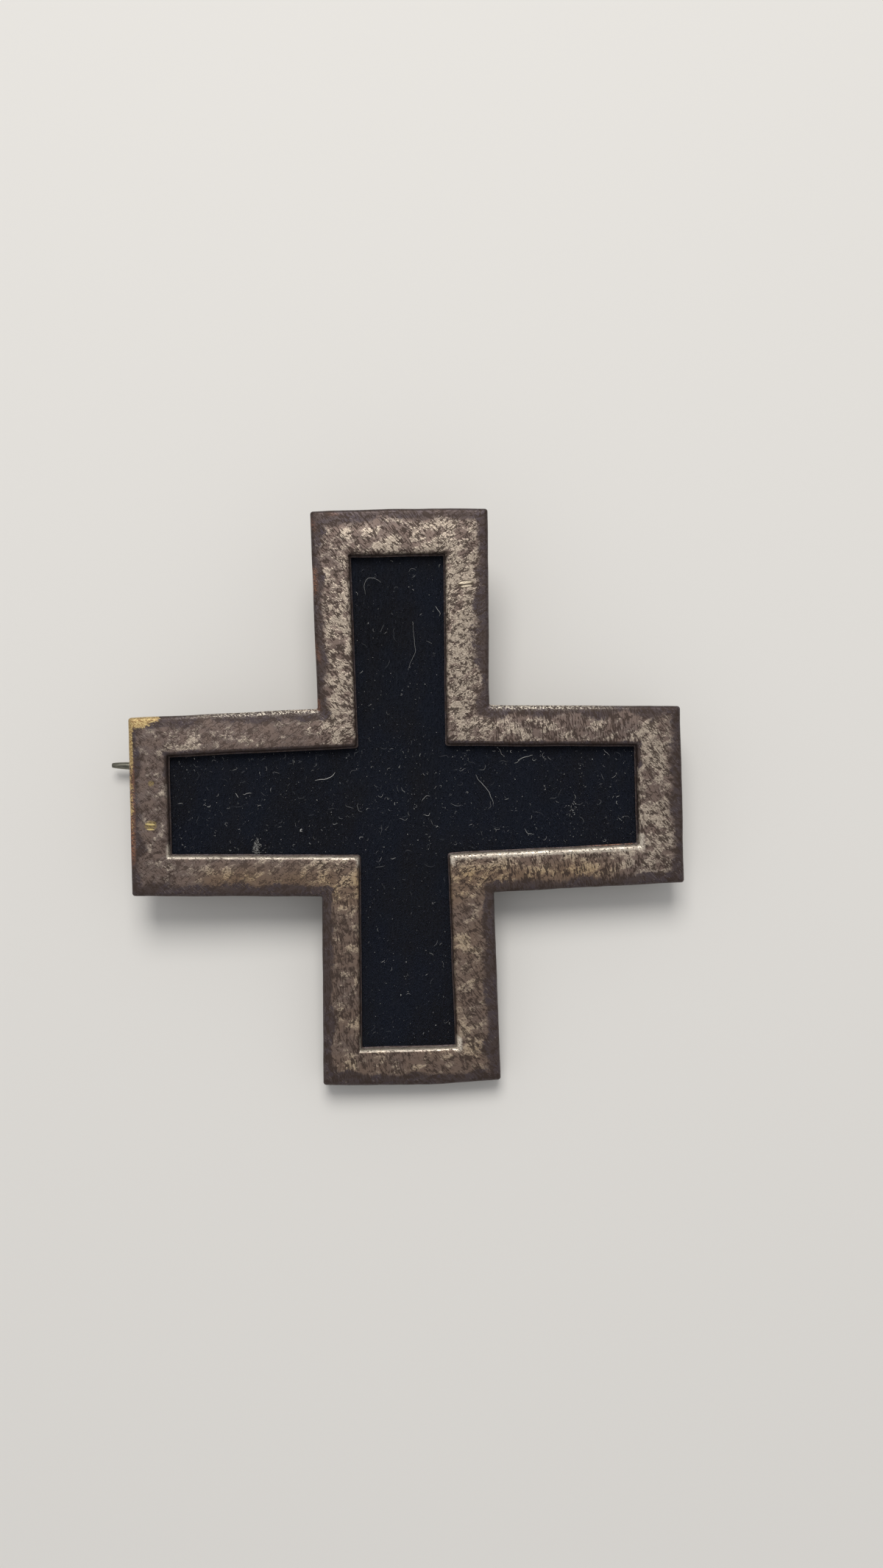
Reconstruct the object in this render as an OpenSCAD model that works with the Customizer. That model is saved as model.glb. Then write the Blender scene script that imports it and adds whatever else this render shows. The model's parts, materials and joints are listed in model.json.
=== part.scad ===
// Cross-shaped mourning brooch, lying face up as it rests on a table.
//
// A pressed metal border frames a cross of black velvet. A flat plate closes the back,
// and carries a hinge with a swinging pin and a hook that catches the pin.
//
// The brooch is drawn flat, with its back on z = 0 and its crossing at the origin, and
// rest_on_table() then tips the whole of it until its hook, its hinge and one corner
// of its bottom arm stand on the table.

/* [Outline] */
// Width of the crossing, between the side arms
crossing_w = 12; // [9:0.5:16]
// Height of the crossing, between the top and bottom arms
crossing_h = 13.1; // [9:0.1:16]
// Width of every arm at its end
arm_end_w = 12.4; // [9:0.1:16]
// Length of the top arm from the crossing
top_arm = 13.75; // [10:0.05:22]
// Length of the bottom arm from the crossing
bottom_arm = 13.15; // [10:0.05:22]
// Length of the left arm from the crossing
left_arm = 13.15; // [12:0.05:22]
// Length of the right arm from the crossing
right_arm = 13.4; // [10:0.05:22]

/* [Border widths] */
// Border along the left sides of the top and bottom arms
left_side_border = 2.6; // [2:0.05:3.4]
// Border along the right sides of the top and bottom arms
right_side_border = 3; // [2:0.05:3.4]
// Border along the upper sides of the left and right arms
upper_side_border = 2.75; // [2:0.05:3.4]
// Border along the lower sides of the left and right arms
lower_side_border = 2.8; // [2:0.05:3.4]
// Border across the end of the top arm
top_end_border = 3.1; // [2:0.05:3.4]
// Border across the end of the bottom arm
bottom_end_border = 2.4; // [2:0.05:3.4]
// Border across the end of the left arm
left_end_border = 2.65; // [2:0.05:3.4]
// Border across the end of the right arm
right_end_border = 3.15; // [2:0.05:3.4]

/* [Border section] */
// Thickness of the pressed sheet
sheet_t = 0.35; // [0.25:0.05:0.5]
// Height of the outer skirt, where the crown starts
skirt_h = 1.4; // [1.2:0.05:2.2]
// Rise of the crown above its two edges
crown_h = 0.65; // [0.45:0.05:1]
// Width of the rim that is folded over at the back
back_fold_w = 1; // [0.6:0.1:1.6]

/* [Back and inlay] */
// Thickness of the back plate
plate_t = 0.4; // [0.3:0.05:0.8]
// Gap around the back plate, inside the skirt
plate_gap = 0.05; // [0.02:0.01:0.1]
// Thickness of the velvet with its card
velvet_t = 0.5; // [0.3:0.05:1]
// How far the velvet runs in under the border
velvet_tuck = 0.8; // [0.3:0.1:1.2]
// Gap between the velvet and the border's inner lip
velvet_gap = 0.05; // [0.02:0.01:0.1]

/* [Pin] */
// Diameter of the pin wire
pin_d = 0.84; // [0.7:0.02:1]
// Diameter of the blunt end of the point
point_d = 0.24; // [0.1:0.02:0.4]
// Length of the ground point
point_len = 9; // [4:0.5:11]
// How far the point stands out past the left arm
point_overhang = 2.25; // [0.5:0.05:4]
// Height of the pin above the middle of the arms, where it passes the left end
point_y = 2.9; // [1:0.1:3.2]
// Slope of the whole pin fitting to the arms, in degrees
fitting_slope = 3; // [0:0.5:4]
// Diameter of the soldered root, where the wire leaves its barrel
root_d = 1.2; // [1:0.05:1.4]
// Length of the root, from the rivet's middle to the plain wire
root_len = 2; // [1.6:0.1:3]
// Outer diameter of the barrel that turns on the rivet
barrel_d = 1.7; // [1.5:0.1:2]
// Width of the barrel
barrel_w = 1.4; // [1:0.1:2.5]

/* [Hinge] */
// Distance of the hinge from the middle of the crossing
hinge_x = 11; // [9:0.5:15]
// Height of the rivet off the back plate
rivet_drop = 2.15; // [1.8:0.05:2.6]
// Diameter of the rivet
rivet_d = 0.8; // [0.6:0.05:0.9]
// Diameter of the rivet's heads
rivet_head_d = 1.3; // [1:0.1:1.8]
// Thickness of the rivet's heads
rivet_head_t = 0.25; // [0.15:0.05:0.4]
// Radial clearance between the rivet and the barrel
barrel_play = 0.03; // [0.01:0.01:0.08]
// Radial clearance between the rivet and the ears
ear_play = 0.01; // [0.01:0.01:0.03]
// Gap between each ear and the barrel
ear_gap = 0.08; // [0.04:0.01:0.2]
// Thickness of the bracket's strip
bracket_t = 0.45; // [0.3:0.05:0.6]
// Width of each ear along the pin
ear_w = 2; // [1.6:0.1:2.6]
// Length of the bracket's foot along the pin
foot_len = 4.6; // [3:0.2:7]

/* [Catch] */
// Distance of the hook from the middle of the crossing
catch_x = 14.5; // [13:0.5:16]
// Thickness of the hook's strip
hook_t = 0.45; // [0.3:0.05:0.6]
// Width of the hook along the pin
hook_w = 2.6; // [1.5:0.1:3.5]
// Inside radius of the hook
hook_r = 0.7; // [0.6:0.05:1]
// Inside radius of the bend above the hook's foot
hook_bend_r = 0.5; // [0.3:0.05:0.8]
// Depth of the hook's curve, from the back plate to its outside
hook_drop = 4.1; // [3.6:0.05:4.6]
// How far the hook's lip is turned back up
lip_up = 0.3; // [0:0.05:0.6]
// Length of the hook's soldered foot
hook_foot = 3; // [2:0.1:4]
// Gap between the pin and the bottom of the hook
pin_seat_gap = 0.2; // [0.1:0.05:0.3]

/* [Hidden] */
$fn = 64;

crown_step = 15;        // degrees between the points of the crown's arch
crown_squareness = 0.6; // below 1 the arch is flatter on top and rounder at its edges
point_steps = 8;        // cones that make up the ground point
point_fullness = 0.35;  // below 1 the point thickens quickly behind its tip
cut_over = 1;           // how far a drill runs past what it drills

left_x = -(crossing_w / 2 + left_arm);
right_x = crossing_w / 2 + right_arm;
top_y = crossing_h / 2 + top_arm;
bottom_y = -(crossing_h / 2 + bottom_arm);

// The twelve outer corners, clockwise from the top arm's left corner
outline = [
    [-arm_end_w / 2, top_y], [arm_end_w / 2, top_y],
    [crossing_w / 2, crossing_h / 2],
    [right_x, arm_end_w / 2], [right_x, -arm_end_w / 2],
    [crossing_w / 2, -crossing_h / 2],
    [arm_end_w / 2, bottom_y], [-arm_end_w / 2, bottom_y],
    [-crossing_w / 2, -crossing_h / 2],
    [left_x, -arm_end_w / 2], [left_x, arm_end_w / 2],
    [-crossing_w / 2, crossing_h / 2]
];
corners = len(outline);

// Border width along each run, from its corner to the next one
borders = [
    top_end_border, right_side_border, upper_side_border,
    right_end_border, lower_side_border, right_side_border,
    bottom_end_border, left_side_border, lower_side_border,
    left_end_border, upper_side_border, left_side_border
];

// Each run's direction, and its normal towards the inside of the cross
function corner(i) = outline[(i + corners) % corners];
function run_length(i) = norm(corner(i + 1) - corner(i));
function run_way(i) = (corner(i + 1) - corner(i)) / run_length(i);
function inward(i) = let (way = run_way(i)) [way.y, -way.x];

// The corner of the outline moved in by its own distance along each of its two runs
function inset_corner(i, insets) = let (
        before = (i + corners - 1) % corners,
        n1 = inward(before),
        n2 = inward(i),
        d1 = n1 * corner(i) + insets[before],
        d2 = n2 * corner(i) + insets[i],
        turn = n1.x * n2.y - n1.y * n2.x
    ) [(d1 * n2.y - d2 * n1.y) / turn, (d2 * n1.x - d1 * n2.x) / turn];

function inset_outline(insets) = [for (i = [0 : corners - 1]) inset_corner(i, insets)];

window = inset_outline(borders);

// Heights of the stacked layers above the back
plate_z = sheet_t;
velvet_z = plate_z + plate_t;
lip_h = velvet_z + velvet_t + velvet_gap;

// The section through a border of middling width: the skirt, the crown's arch and its
// inner lip, then back along the sheet's underside to the folded rim
section_w = (left_side_border + right_side_border) / 2;

function arch(set_in, turn) = let (over = (1 - cos(turn)) / 2) [
        set_in + (section_w - 2 * set_in) * over,
        skirt_h + (lip_h - skirt_h) * over
            + (crown_h - set_in) * pow(sin(turn), crown_squareness)
    ];

section = concat(
        [[0, 0]],
        [for (turn = [0 : crown_step : 180]) arch(0, turn)],
        [for (turn = [180 : -crown_step : 0]) arch(sheet_t, turn)],
        [[sheet_t, sheet_t], [back_fold_w, sheet_t], [back_fold_w, 0]]
    );

// The section stands across the border at each corner, stretched along the mitre from
// the outline's corner to the window's, so that neighbouring runs meet height for height
section_ring = [
    for (i = [0 : corners - 1]) for (p = section)
        let (plan = outline[i] + (window[i] - outline[i]) * p.x / section_w) [plan.x, plan.y, p.y]
];
ring_faces = let (n = len(section)) [
    for (i = [0 : corners - 1]) for (j = [0 : n - 1])
        let (here = i * n, next = (i + 1) % corners * n, k = (j + 1) % n)
            [here + j, here + k, next + k, next + j]
];

// The hinge's axis stands where the sloping pin puts it, so that the pin passes the
// left end at its own height
hinge_y = point_y - (hinge_x - left_x) * tan(fitting_slope);
ear_r = ear_w / 2;
bracket_w = barrel_w + 2 * ear_gap + 2 * bracket_t;
catch_run = (hinge_x + catch_x) / cos(fitting_slope);
hook_out_r = hook_r + hook_t;
hook_centre = hook_drop - hook_out_r;

// The pin reaches its hook a little lower than it leaves its hinge
pin_r = pin_d / 2;
pin_reach = (hinge_x - left_x + point_overhang) / cos(fitting_slope);
function point_radius(from_tip) =
    from_tip >= point_len ? pin_r
    : point_d / 2 + (pin_r - point_d / 2) * pow(from_tip / point_len, point_fullness);
pin_r_at_hook = point_radius(pin_reach - catch_run);
pin_drop_at_hook = hook_centre + hook_r - pin_r_at_hook - pin_seat_gap;
pin_slope = atan((pin_drop_at_hook - rivet_drop) / catch_run);
pin_len = pin_reach / cos(pin_slope);

// A point given along the pin fitting: towards the point, across it, and off the back plate
function on_fitting(along, across, drop) = [
        hinge_x - along * cos(fitting_slope) + across * sin(fitting_slope),
        hinge_y + along * sin(fitting_slope) + across * cos(fitting_slope),
        plate_z - drop
    ];

// The brooch stands on the near edge of its hook, the lower ear of its hinge and the
// right corner of its bottom arm
hook_foot_point = on_fitting(catch_run - hook_w / 2, 0, hook_drop);
hinge_foot_point = on_fitting(0, -bracket_w / 2, rivet_drop + ear_r);
arm_foot_point = [arm_end_w / 2, bottom_y, 0];
table = cross(hinge_foot_point - arm_foot_point, hook_foot_point - arm_foot_point);
tip_up = atan2(table.y, table.z);
tip_over = atan2(-table.x, norm([table.y, table.z]));

function tipped(p) = let (
        y = p.y * cos(tip_up) - p.z * sin(tip_up),
        z = p.y * sin(tip_up) + p.z * cos(tip_up)
    ) [p.x * cos(tip_over) + z * sin(tip_over), y, z * cos(tip_over) - p.x * sin(tip_over)];

// The outermost points of the tipped brooch, which set the middle of its footprint
rim = [for (p = outline) for (z = [0, skirt_h]) tipped([p.x, p.y, z])];
point_tip = tipped(on_fitting(pin_reach, 0, rivet_drop + pin_reach * tan(pin_slope)));
reach_x = concat([for (p = rim) p.x], [point_tip.x]);
reach_y = [for (p = rim) p.y];
footprint_mid = [
    (min(reach_x) + max(reach_x)) / 2,
    (min(reach_y) + max(reach_y)) / 2,
    tipped(arm_foot_point).z
];

module rest_on_table() {
    translate(-footprint_mid) rotate([tip_up, tip_over, 0]) children();
}

// Stands its children on the back plate at the hinge, with x along the pin to its
// point, y across it and z off the back
module pin_fitting() {
    translate(on_fitting(0, 0, 0)) rotate([0, 180, -fitting_slope]) children();
}

// A round bar across the fitting, of the given radius and width
module across(r, w) {
    rotate([90, 0, 0]) cylinder(r = r, h = w, center = true);
}

// The pressed border: skirt, crown, inner lip and folded rim, all of one sheet
module frame() {
    color("#8c7f70") rest_on_table() polyhedron(section_ring, ring_faces);
}

// The velvet on its card, tucked in under the border all round
module velvet() {
    color("#14161c") rest_on_table()
        translate([0, 0, velvet_z]) linear_extrude(velvet_t)
            polygon(inset_outline([for (w = borders) w - velvet_tuck]));
}

// The plate inside the folded rim
module back_plate() {
    color("#8a7048") rest_on_table()
        translate([0, 0, plate_z]) linear_extrude(plate_t)
            polygon(inset_outline([for (w = borders) sheet_t + plate_gap]));
}

// A strip folded into a foot and two ears, drilled for the rivet
module hinge_bracket() {
    color("#a08352") rest_on_table() pin_fitting() difference() {
        union() {
            translate([-foot_len / 2, -bracket_w / 2, 0]) cube([foot_len, bracket_w, bracket_t]);
            for (side = [-1, 1])
                translate([0, side * (bracket_w - bracket_t) / 2, 0]) {
                    translate([0, 0, rivet_drop]) across(ear_r, bracket_t);
                    translate([-ear_r, -bracket_t / 2, 0]) cube([ear_w, bracket_t, rivet_drop]);
                }
        }
        translate([0, 0, rivet_drop]) across(rivet_d / 2 + ear_play, bracket_w + 2 * cut_over);
    }
}

// The rivet, headed on the outside of both ears
module hinge_rivet() {
    color("#b39a6b") rest_on_table() pin_fitting() translate([0, 0, rivet_drop]) {
        across(rivet_d / 2, bracket_w);
        for (side = [-1, 1])
            translate([0, side * (bracket_w + rivet_head_t) / 2, 0])
                across(rivet_head_d / 2, rivet_head_t);
    }
}

// The pin: a drilled barrel, the wire stem and its ground point
module pin() {
    stem_len = pin_len - point_len;
    color("#5d5a52") rest_on_table() pin_fitting()
        translate([0, 0, rivet_drop]) rotate([0, -pin_slope, 0]) difference() {
            union() {
                across(barrel_d / 2, barrel_w);
                rotate([0, 90, 0]) cylinder(d1 = root_d, d2 = pin_d, h = root_len);
                rotate([0, 90, 0]) cylinder(d = pin_d, h = stem_len);
                translate([stem_len, 0, 0]) rotate([0, 90, 0]) rotate_extrude() polygon(concat(
                    [[0, 0]],
                    [for (i = [0 : point_steps]) let (along = point_len * i / point_steps)
                        [point_radius(point_len - along), along]],
                    [[0, point_len]]
                ));
            }
            across(rivet_d / 2 + barrel_play, barrel_w + 2 * cut_over);
        }
}

// The hook's side view: its foot on the plate, a bend, a straight side, the curve that
// holds the pin, and the lip
module hook_profile() {
    bend_out_r = hook_bend_r + hook_t;
    bend_mid = [hook_out_r - bend_out_r, bend_out_r];
    foot_end = hook_out_r - hook_foot;
    translate([foot_end, 0]) square([bend_mid.x - foot_end, hook_t]);
    intersection() {
        translate(bend_mid) difference() {
            circle(bend_out_r);
            circle(hook_bend_r);
        }
        translate([bend_mid.x, 0]) square(bend_out_r);
    }
    translate([hook_r, bend_mid.y]) square([hook_t, hook_centre - bend_mid.y]);
    intersection() {
        translate([0, hook_centre]) difference() {
            circle(hook_out_r);
            circle(hook_r);
        }
        translate([-hook_out_r, hook_centre]) square([2 * hook_out_r, hook_out_r]);
    }
    translate([-hook_out_r, hook_centre - lip_up]) square([hook_t, lip_up]);
}

// A strip soldered down at its foot and curled round into a hook
module catch_hook() {
    color("#a08352") rest_on_table() pin_fitting()
        translate([catch_run - hook_w / 2, 0, 0]) rotate([90, 0, 90])
            linear_extrude(hook_w) hook_profile();
}

frame();
velvet();
back_plate();
hinge_bracket();
hinge_rivet();
pin();
catch_hook();
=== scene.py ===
import json
import math

import bmesh
import bpy
import numpy as np
from mathutils import Matrix, Vector, noise


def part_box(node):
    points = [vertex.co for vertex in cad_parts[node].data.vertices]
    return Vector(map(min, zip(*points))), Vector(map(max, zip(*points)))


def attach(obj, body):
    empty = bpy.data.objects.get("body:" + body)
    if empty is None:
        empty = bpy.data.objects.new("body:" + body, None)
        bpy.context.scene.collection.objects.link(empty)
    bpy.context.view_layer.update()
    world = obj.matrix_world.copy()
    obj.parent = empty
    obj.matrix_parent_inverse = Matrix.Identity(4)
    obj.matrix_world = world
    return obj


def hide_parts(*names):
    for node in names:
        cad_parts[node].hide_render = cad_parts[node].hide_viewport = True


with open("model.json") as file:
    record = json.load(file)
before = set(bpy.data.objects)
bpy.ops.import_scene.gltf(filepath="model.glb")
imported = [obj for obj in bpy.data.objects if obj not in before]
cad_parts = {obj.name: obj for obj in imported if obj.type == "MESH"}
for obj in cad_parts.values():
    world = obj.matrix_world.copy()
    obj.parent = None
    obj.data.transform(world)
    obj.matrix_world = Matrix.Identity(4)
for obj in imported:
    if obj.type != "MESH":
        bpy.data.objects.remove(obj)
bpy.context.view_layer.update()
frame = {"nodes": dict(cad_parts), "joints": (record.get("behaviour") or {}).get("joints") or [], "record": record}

# The back plate: a cross cut from sheet brass, dropped inside the folded border to close
# the back. It has gone brown with handling, with file marks and a few rubbed places.
# Everything else is set out from its flat face, so its own directions are found first.

MM = 0.001
# The border stands this far out from the plate's edges, and its rim this far behind it.
RIM_GAP = 0.40
PLATE_LIFT = 0.35


def prism_points(node):
    """The outer corners of a flat CAD node, and the direction that it faces."""
    found = [tuple(v.co) for v in frame["nodes"][node].data.vertices]
    points = np.array(sorted(set(found)))
    facing = np.linalg.svd(points - points.mean(0))[2][2]
    return points, facing * np.sign(facing[2])


plate_points, facing = prism_points("back_plate")
tip_up = math.asin(-facing[1])
tip_over = math.atan2(facing[0], facing[2])
turned = Matrix.Rotation(tip_over, 4, "Y") @ Matrix.Rotation(tip_up, 4, "X")
middle = Vector(plate_points.mean(0))
plate_place = Matrix.Translation(middle) @ turned


def placed(points, place):
    """Points carried to a place by its matrix."""
    matrix = np.array(place)
    return points @ matrix[:3, :3].T + matrix[:3, 3]


def on_plate(points):
    """Row-frame points in millimetres along the plate, up it and off its back."""
    return placed(np.asarray(points), plate_place.inverted()) / MM


def off_plate(points):
    """The other way: millimetres on the plate to row-frame metres."""
    return placed(np.asarray(points, float) * MM, plate_place)


def cross_corners(node):
    """The twelve corners of a cross, clockwise from the top arm's left corner."""
    before_the_first = 2.1
    flat = on_plate(prism_points(node)[0])
    flat = flat[flat[:, 2] > flat[:, 2].mean()][:, :2]
    around = flat - (flat.max(0) + flat.min(0)) / 2
    clockwise = (before_the_first - np.arctan2(around[:, 1], around[:, 0])) % math.tau
    return flat[np.argsort(clockwise)]


def moved_in(corners, distance):
    """The outline with every side moved inwards by a distance, or out if negative."""
    moved = []
    for i, here in enumerate(corners):
        ahead = corners[(i + 1) % len(corners)]
        ways = [here - corners[i - 1], ahead - here]
        normals = [np.array([w[1], -w[0]]) / np.hypot(*w) for w in ways]
        reach = [n @ here + distance for n in normals]
        moved.append(np.linalg.solve(np.array(normals), np.array(reach)))
    return np.array(moved)


# The plate's directions start from the middle of the crossing, at the very back.
CONCAVE = [2, 5, 8, 11]
crossing = cross_corners("back_plate")[CONCAVE].mean(0)
plate_back = on_plate(plate_points)[:, 2].min()
plate_place = plate_place @ Matrix.Translation(
    Vector((crossing[0], crossing[1], plate_back - PLATE_LIFT)) * MM
)
outline = moved_in(cross_corners("back_plate"), -RIM_GAP)


def colour(red, green, blue):
    """A colour given as on a screen, 0 to 255, for a shader."""
    share = np.array([red, green, blue]) / 255
    return (*np.where(share <= 0.04045, share / 12.92, ((share + 0.055) / 1.055) ** 2.4), 1)


class Finish:
    """A material in the making: its shader, and the patterns laid out on the plate."""

    def __init__(self, name, **sockets):
        self.material = bpy.data.materials.new(name)
        self.material.use_nodes = True
        self.tree = self.material.node_tree
        self.shader = self.tree.nodes["Principled BSDF"]
        for socket, value in sockets.items():
            self.shader.inputs[socket.replace("_", " ")].default_value = value
        coordinates = self.tree.nodes.new("ShaderNodeTexCoord")
        self.ground = self.made("Mapping", {
            0: coordinates.outputs["Object"],
            "Location": plate_place.translation,
            "Rotation": (tip_up, tip_over, 0),
            "Scale": (MM, MM, MM),
        }, vector_type="TEXTURE").outputs[0]

    def made(self, kind, inputs, **settings):
        """A node with its settings and what feeds its sockets."""
        node = self.tree.nodes.new("ShaderNode" + kind)
        for setting, value in settings.items():
            setattr(node, setting, value)
        for socket, value in inputs.items():
            self.feed(node.inputs[socket], value)
        return node

    def feed(self, socket, value):
        """Link one socket to another, or give it a value."""
        if isinstance(value, bpy.types.NodeSocket):
            self.tree.links.new(value, socket)
        else:
            socket.default_value = value

    def grain(self, lean=0, length=1, width=1, detail=3, rough=0.55, shift=0, twist=0):
        """Noise drawn out along a direction, in degrees from the plate's x axis."""
        turn = self.made("Mapping", {
            0: self.ground,
            "Location": (shift, shift * 0.7, 0),
            "Rotation": (0, 0, -math.radians(lean)),
        }, vector_type="POINT")
        drawn = self.made("Mapping", {
            0: turn.outputs[0],
            "Scale": (1 / length, 1 / width, 1 / width),
        })
        return self.made("TexNoise", {
            "Vector": drawn.outputs[0],
            "Scale": 1,
            "Detail": detail,
            "Roughness": rough,
            "Distortion": twist,
        }).outputs[0]

    def step(self, value, low, high):
        """0 below low, 1 above high, smooth between; falls if low is above high."""
        turned_down = low > high
        low, high = min(low, high), max(low, high)
        return self.made("MapRange", {
            "Value": value,
            "From Min": low,
            "From Max": high,
            "To Min": float(turned_down),
            "To Max": float(not turned_down),
        }, interpolation_type="SMOOTHSTEP").outputs[0]

    def sums(self, how, first, second):
        """Two values added, multiplied or compared."""
        return self.made("Math", {0: first, 1: second}, operation=how).outputs[0]

    def scaled(self, value, times, plus=0.0):
        """A value times a number, plus another."""
        inputs = {0: value, 1: times, 2: plus}
        return self.made("Math", inputs, operation="MULTIPLY_ADD").outputs[0]

    def mixed(self, share, first, second):
        """One colour turning into another as the share goes from 0 to 1."""
        inputs = {0: share, 6: first, 7: second}
        return self.made("Mix", inputs, data_type="RGBA").outputs[2]

    def painted(self, name):
        """A share painted on the piece's points."""
        return self.made("Attribute", {}, attribute_name=name).outputs["Fac"]

    def spot(self, x, y, length, width, lean=0):
        """1 inside an ellipse on the plate, fading out at its edge."""
        across = self.made("Mapping", {
            0: self.ground,
            "Location": (x, y, 0),
            "Rotation": (0, 0, math.radians(lean)),
            "Scale": (length / 2, width / 2, 1000),
        }, vector_type="TEXTURE")
        away = self.made("VectorMath", {0: across.outputs[0]}, operation="LENGTH")
        return self.step(away.outputs["Value"], 1.15, 0.75)

    def bumped(self, height, depth):
        """Relief of the given depth in millimetres."""
        relief = self.made("Bump", {"Height": height, "Strength": 1, "Distance": depth * MM})
        self.feed(self.shader.inputs["Normal"], relief.outputs[0])

    def set(self, socket, value):
        """Feed one of the shader's own sockets."""
        self.feed(self.shader.inputs[socket], value)


def browned_brass(name, bright, brown, lean, rubbed=0.5):
    """Brass gone brown, with file marks along one direction and rubbed places."""
    bright, brown = colour(*bright), colour(*brown)
    mark_brown, pit_brown = colour(58, 46, 34), colour(38, 30, 24)
    brass = Finish(name, Metallic=0.75)
    file_marks = brass.step(brass.grain(lean, 4, 0.06), 0.40, 0.62)
    cross_marks = brass.step(brass.grain(lean + 62, 2.5, 0.05, shift=9), 0.56, 0.64)
    handled = brass.grain(0, 2.6, 2.2, 5, 0.62, shift=3)
    patches = brass.step(handled, rubbed - 0.12, rubbed + 0.12)
    pits = brass.step(brass.grain(0, 0.12, 0.12, 2), 0.33, 0.25)
    tone = brass.mixed(patches, brown, bright)
    tone = brass.mixed(brass.scaled(file_marks, 0.35), tone, bright)
    tone = brass.mixed(brass.scaled(cross_marks, 0.5), tone, mark_brown)
    tone = brass.mixed(pits, tone, pit_brown)
    brass.set("Base Color", tone)
    brass.set("Roughness", brass.scaled(patches, -0.16, 0.52))
    dents = brass.sums("ADD", pits, cross_marks)
    brass.bumped(brass.sums("SUBTRACT", file_marks, dents), 0.012)
    return brass.material


back_plate = frame["nodes"]["back_plate"]
back_plate.data.materials.clear()
back_plate.data.materials.append(
    browned_brass("browned_back_brass", (146, 118, 78), (106, 85, 60), 28)
)

# The hinge's bracket and the catch's hook: both bent up from strip brass, filed, and
# soldered to the back plate by their feet, with the solder run out round them. The
# bracket's two ears carry the rivet, and the hook is curled round to hold the pin.

hinge = frame["joints"][0]
pin_mount = next(m for m in frame["record"]["mounts"] if m["name"] == "pin_stem")
pivot = Vector(hinge["pos_m"])
# The fittings' own directions: along the pin, across it, and away from the plate's back.
under = -Vector(facing)
fit_along = Vector(pin_mount["axis"])
fit_along = (fit_along - under * fit_along.dot(under)).normalized()
fit_across = under.cross(fit_along)
plate_under = Vector(off_plate([[0, 0, PLATE_LIFT]])[0])
fit_origin = pivot - under * (pivot - plate_under).dot(under)
fitting = Matrix.Translation(fit_origin) @ Matrix((
    (*fit_along,), (*fit_across,), (*under,)
)).transposed().to_4x4()


def finished(mesh, finish, body, smooth):
    """A new piece with a mesh, smooth except at edges sharper than given."""
    mesh.polygons.foreach_set("use_smooth", [True] * len(mesh.polygons))
    mesh.set_sharp_from_angle(angle=math.radians(smooth))
    mesh.materials.append(finish)
    made = bpy.data.objects.new(mesh.name, mesh)
    bpy.context.scene.collection.objects.link(made)
    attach(made, body)
    return made


def piece(name, points, faces, finish, body="brooch", smooth=35):
    """A new piece from row-frame points and faces."""
    mesh = bpy.data.meshes.new(name)
    mesh.from_pydata(np.asarray(points).tolist(), [], faces)
    return finished(mesh, finish, body, smooth)


def filed_copy(node, name, finish, rounding):
    """A CAD node's shape with its edges rounded off, standing for that node."""
    sharp_angle = 40
    shape = bmesh.new()
    shape.from_mesh(frame["nodes"][node].data)
    bmesh.ops.remove_doubles(shape, verts=shape.verts, dist=0.0005 * MM)
    bmesh.ops.dissolve_limit(
        shape, angle_limit=math.radians(0.5), verts=shape.verts, edges=shape.edges
    )
    mesh = bpy.data.meshes.new(name)
    shape.to_mesh(mesh)
    shape.free()
    made = finished(mesh, finish, "brooch", sharp_angle)
    bevel = made.modifiers.new("filed_edges", "BEVEL")
    bevel.width = rounding * MM
    bevel.segments = 3
    bevel.limit_method = "ANGLE"
    bevel.angle_limit = math.radians(sharp_angle)
    bevel.use_clamp_overlap = True
    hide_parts(node)


strip_brass = browned_brass("browned_strip_brass", (158, 130, 86), (112, 90, 62), -3)
filed_copy("hinge_bracket", "hinge_bracket_strip", strip_brass, 0.06)
filed_copy("catch_hook", "catch_hook_strip", strip_brass, 0.07)

solder = Finish("grey_solder", Metallic=0.6)
solder_skin = solder.step(solder.grain(0, 0.5, 0.4, 4, 0.6), 0.38, 0.62)
solder_tone = solder.mixed(solder_skin, colour(100, 92, 80), colour(128, 120, 106))
solder.set("Base Color", solder_tone)
solder.set("Roughness", solder.step(solder_skin, 1.6, -0.6))
solder.bumped(solder_skin, 0.02)

# How far out from the foot, and how high there.
FILLET = [(0, 0.30), (0.05, 0.20), (0.13, 0.11), (0.24, 0.05), (0.40, 0.012), (0.46, -0.01)]


def solder_fillet(name, node):
    """Solder drawn up round a foot, wider here and narrower there."""
    points = np.array([v.co for v in frame["nodes"][node].data.vertices])
    points = placed(points, fitting.inverted()) / MM
    foot = points[np.abs(points[:, 2]) < 0.01][:, :2]
    low, high = foot.min(0), foot.max(0)
    corners = [high, (low[0], high[1]), low, (high[0], low[1])]
    stations = []
    for quarter, corner in enumerate(corners):
        for turn in range(90 * quarter, 90 * quarter + 91, 15):
            way = np.array([math.cos(math.radians(turn)), math.sin(math.radians(turn))])
            stations.append((np.array(corner), way))
    runs = []
    for (here, way), (there, _) in zip(stations, stations[1:] + stations[:1]):
        steps = max(1, round(np.hypot(*(there - here)) / 0.2))
        runs += [(here + (there - here) * k / steps, way) for k in range(steps)]
    rings = []
    for place, way in runs:
        swell = noise.noise(Vector((*place, 3)) * 1.3)
        for out, height in FILLET:
            at = place + way * out * (1 + 0.45 * swell)
            rings.append((*at, height * (1 + 0.35 * swell)))
    deep = len(FILLET)
    faces = []
    for i in range(len(runs)):
        here, ahead = i * deep, (i + 1) % len(runs) * deep
        for j in range(deep - 1):
            faces.append((here + j, here + j + 1, ahead + j + 1, ahead + j))
    rings = placed(np.array(rings) * MM, fitting)
    piece(name, rings, faces, solder.material)


solder_fillet("hinge_solder", "hinge_bracket")
solder_fillet("catch_solder", "catch_hook")

# The rivet: a short brass wire through both ears and the pin's barrel, spread at each
# end into a low domed head by a few taps of the hammer.

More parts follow.
